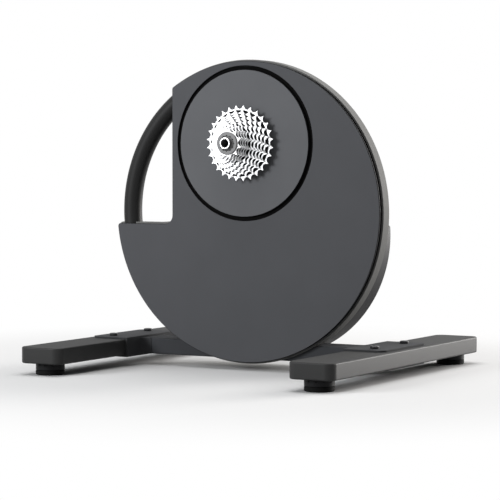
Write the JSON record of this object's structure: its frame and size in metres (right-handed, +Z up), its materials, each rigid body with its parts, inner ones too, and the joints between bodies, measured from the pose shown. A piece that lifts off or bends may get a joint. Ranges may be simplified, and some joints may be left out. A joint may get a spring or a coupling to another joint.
{
  "type": "direct-drive bicycle trainer",
  "caption": "Direct-drive bicycle trainer: a notched disc housing with a curved carrying handle, a sprocket cassette on its hub, and long levelled legs on a cross beam.",
  "frame": {"origin": "on the floor, at the centre of the footprint of the two legs", "axes": "+X along the bicycle towards its front, -Y the drive side with the cassette, +Z up"},
  "size_m": [0.537, 0.513, 0.4806],
  "materials": {
    "beam_coat": "dark powder coat",
    "saddle_coat": "fine powder coat",
    "leg_coat": "fine powder coat",
    "cover_coat": "fine matt powder coat",
    "panel_coat": "fine matt coat",
    "band_metal": "satin",
    "casting_coat": "black coat",
    "rear_plastic": "moulded, fine grain",
    "handle_coat": "satin black coat",
    "black_steel": "black oxide",
    "foot_rubber": "matt",
    "knob_plastic": "moulded",
    "seal_rubber": "matt",
    "axle_steel": "machined",
    "cap_steel": "polished",
    "cog_steel": "bright plated",
    "lockring_steel": "satin",
    "pulley_alloy": "machined",
    "flywheel_steel": "machined",
    "core_iron": "plain",
    "coil_copper": "lacquered wire",
    "board_green": "circuit board"
  },
  "bodies": {
    "frame": {"base_beam": "beam_coat", "rear_saddle": "saddle_coat", "front_saddle": "saddle_coat", "rear_leg": "leg_coat", "front_leg": "leg_coat", "drive_cover": "cover_coat", "pulley_cover": "panel_coat", "rim_band": "band_metal", "notch_band": "band_metal", "main_casting": "casting_coat", "rear_cover": "rear_plastic", "handle_tube": "handle_coat", "saddle_screw_1": "black_steel", "saddle_screw_2": "black_steel", "saddle_screw_3": "black_steel", "saddle_screw_4": "black_steel", "beam_bolt_1": "black_steel", "beam_bolt_2": "black_steel", "cover_screw_1": "black_steel", "cover_screw_2": "black_steel", "cover_screw_3": "black_steel", "tensioner_bolt": "black_steel", "power_inlet": "knob_plastic", "panel_seal": "seal_rubber", "drive_belt": "seal_rubber", "hub_axle": "axle_steel", "shaft_bearing_inner": "axle_steel", "shaft_bearing_outer": "axle_steel", "drive_end_cap": "cap_steel", "far_end_cap": "cap_steel", "brake_core": "core_iron", "brake_coil_1": "coil_copper", "brake_coil_2": "coil_copper", "control_board": "board_green"},
    "hub": {"drive_pulley": "pulley_alloy", "hub_bearing_inner": "axle_steel", "hub_bearing_outer": "axle_steel"},
    "freehub": {"freehub_body": "axle_steel", "freehub_bearing": "axle_steel", "cog_cluster": "cog_steel", "cog_17": "cog_steel", "cog_15": "cog_steel", "cog_14": "cog_steel", "cog_13": "cog_steel", "cog_12": "cog_steel", "cog_11": "cog_steel", "lockring": "lockring_steel"},
    "flywheel": {"flywheel": "flywheel_steel", "flywheel_shaft": "cap_steel", "shaft_pulley": "axle_steel"},
    "tensioner": {"tensioner_arm": "axle_steel"},
    "idler": {"idler_pulley": "axle_steel"},
    "pad_rear_drive": {"foot_pad_rear_drive": "foot_rubber"},
    "knob_rear_drive": {"foot_knob_rear_drive": "knob_plastic"},
    "pad_rear_far": {"foot_pad_rear_far": "foot_rubber"},
    "knob_rear_far": {"foot_knob_rear_far": "knob_plastic"},
    "pad_front_drive": {"foot_pad_front_drive": "foot_rubber"},
    "knob_front_drive": {"foot_knob_front_drive": "knob_plastic"},
    "pad_front_far": {"foot_pad_front_far": "foot_rubber"},
    "knob_front_far": {"foot_knob_front_far": "knob_plastic"}
  },
  "joints": [
    {"name": "flywheel_spin", "type": "hinge", "parent": "frame", "child": "flywheel", "pos_m": [0, 0, 0.1235], "axis": [0, 1, 0], "continuous": true},
    {"name": "hub_spin", "type": "hinge", "parent": "frame", "child": "hub", "pos_m": [0, 0, 0.3516], "axis": [0, 1, 0], "continuous": true},
    {"name": "freehub_spin", "type": "hinge", "parent": "hub", "child": "freehub", "pos_m": [0, 0, 0.3516], "axis": [0, 1, 0], "continuous": true},
    {"name": "tensioner_swing", "type": "hinge", "parent": "frame", "child": "tensioner", "pos_m": [-0.08577, 0, 0.24721], "axis": [0, 1, 0], "range_deg": [0, 12], "stiffness_Nm_per_rad": 0.5, "springref_deg": -17.19},
    {"name": "idler_spin", "type": "hinge", "parent": "tensioner", "child": "idler", "pos_m": [-0.06956, 0, 0.20846], "axis": [0, 1, 0], "continuous": true},
    {"name": "pad_slide_rear_drive", "type": "slide", "parent": "frame", "child": "pad_rear_drive", "axis": [0, 0, -1], "range_m": [0, 0.008]},
    {"name": "knob_turn_rear_drive", "type": "hinge", "parent": "pad_rear_drive", "child": "knob_rear_drive", "pos_m": [-0.2315, -0.225, 0], "axis": [0, 0, -1], "range_deg": [0, 1920]},
    {"name": "pad_slide_rear_far", "type": "slide", "parent": "frame", "child": "pad_rear_far", "axis": [0, 0, -1], "range_m": [0, 0.008]},
    {"name": "knob_turn_rear_far", "type": "hinge", "parent": "pad_rear_far", "child": "knob_rear_far", "pos_m": [-0.2315, 0.225, 0], "axis": [0, 0, -1], "range_deg": [0, 1920]},
    {"name": "pad_slide_front_drive", "type": "slide", "parent": "frame", "child": "pad_front_drive", "axis": [0, 0, -1], "range_m": [0, 0.008]},
    {"name": "knob_turn_front_drive", "type": "hinge", "parent": "pad_front_drive", "child": "knob_front_drive", "pos_m": [0.2315, -0.225, 0], "axis": [0, 0, -1], "range_deg": [0, 1920]},
    {"name": "pad_slide_front_far", "type": "slide", "parent": "frame", "child": "pad_front_far", "axis": [0, 0, -1], "range_m": [0, 0.008]},
    {"name": "knob_turn_front_far", "type": "hinge", "parent": "pad_front_far", "child": "knob_front_far", "pos_m": [0.2315, 0.225, 0], "axis": [0, 0, -1], "range_deg": [0, 1920]}
  ],
  "couplings": [
    {"joint": "hub_spin", "follows": "flywheel_spin", "ratio": 0.15385},
    {"joint": "idler_spin", "follows": "flywheel_spin", "ratio": -1.3333},
    {"joint": "pad_slide_rear_drive", "follows": "knob_turn_rear_drive", "m_per_rad": 0.00023873},
    {"joint": "pad_slide_rear_far", "follows": "knob_turn_rear_far", "m_per_rad": 0.00023873},
    {"joint": "pad_slide_front_drive", "follows": "knob_turn_front_drive", "m_per_rad": 0.00023873},
    {"joint": "pad_slide_front_far", "follows": "knob_turn_front_far", "m_per_rad": 0.00023873}
  ]
}
